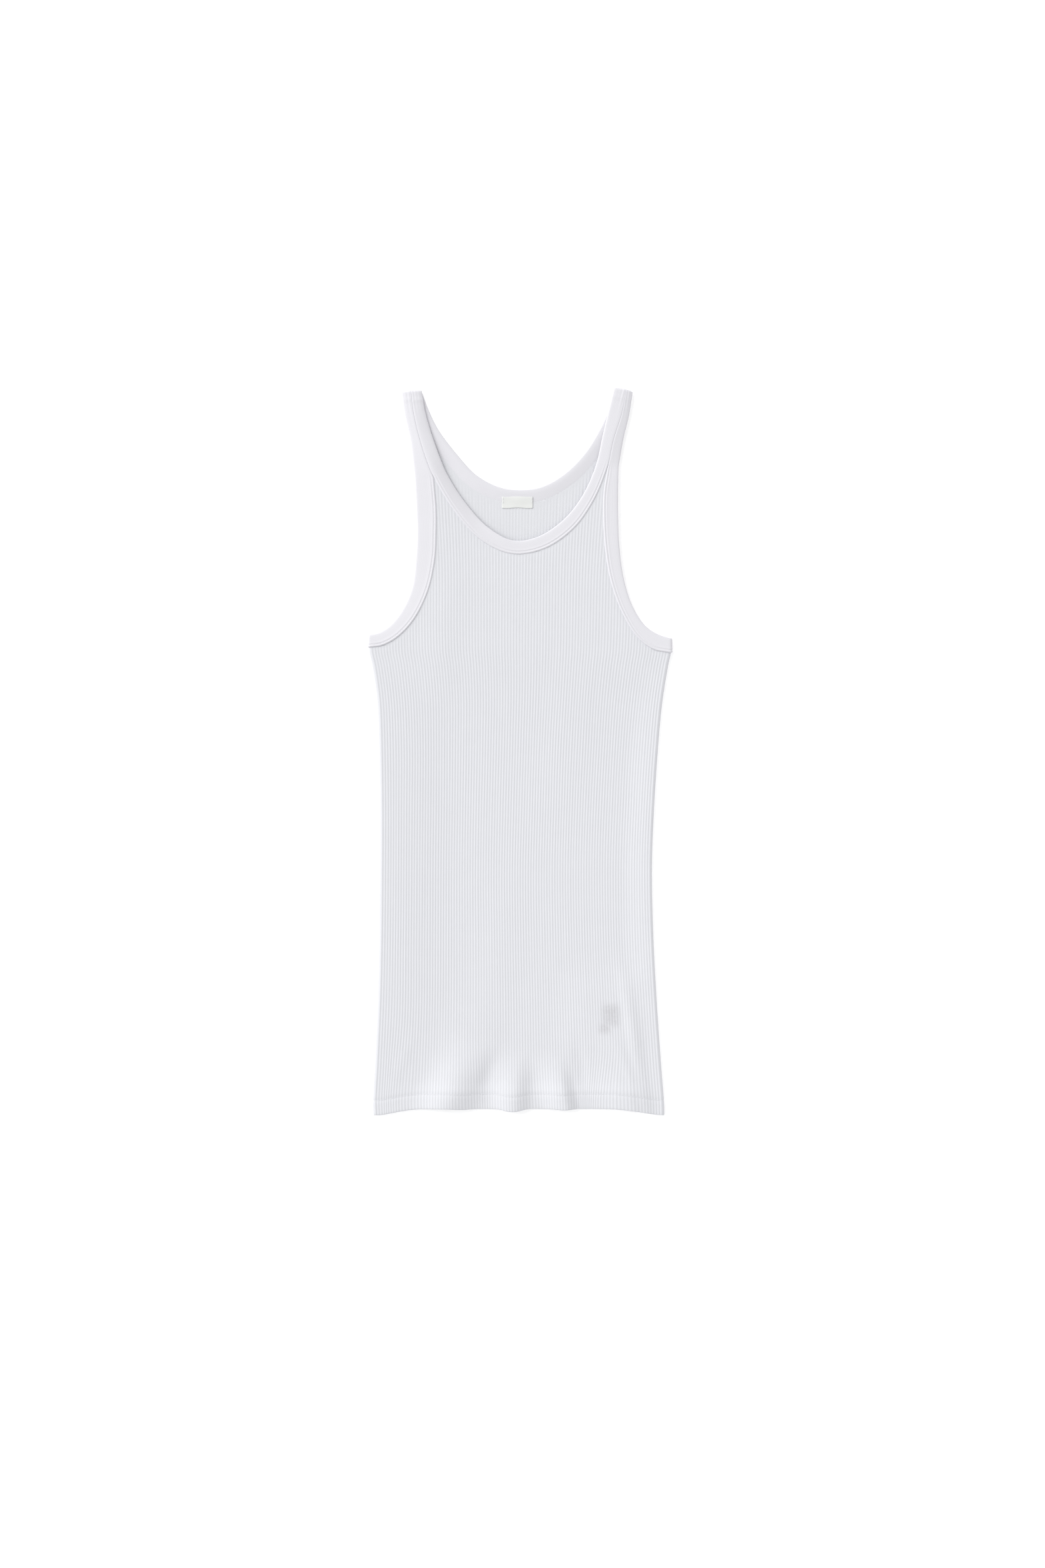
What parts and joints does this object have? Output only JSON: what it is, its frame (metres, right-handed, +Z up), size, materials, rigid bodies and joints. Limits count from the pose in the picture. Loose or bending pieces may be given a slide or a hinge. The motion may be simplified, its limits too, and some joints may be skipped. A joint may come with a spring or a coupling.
{
  "type": "tank top",
  "caption": "Rib-knit cotton tank top laid flat, with a deep scoop neck, narrow bound straps and armholes, a slim body and a narrow turned hem.",
  "frame": {"origin": "on the surface it lies on, under the middle of its bounding box", "axes": "+X to the wearer's left, +Y from the hem to the shoulders, +Z up from the surface, out of the garment's front"},
  "size_m": [0.286, 0.6822, 0.0069],
  "materials": {
    "cotton_rib": "matte rib knit",
    "cotton_jersey": "matte fine knit",
    "satin": "soft sheen"
  },
  "bodies": {
    "root": {"front_panel": "cotton_rib", "back_panel": "cotton_rib", "neck_binding": "cotton_jersey", "armhole_binding_left": "cotton_jersey", "armhole_binding_right": "cotton_jersey", "neck_label": "satin", "care_label": "satin"}
  },
  "joints": []
}
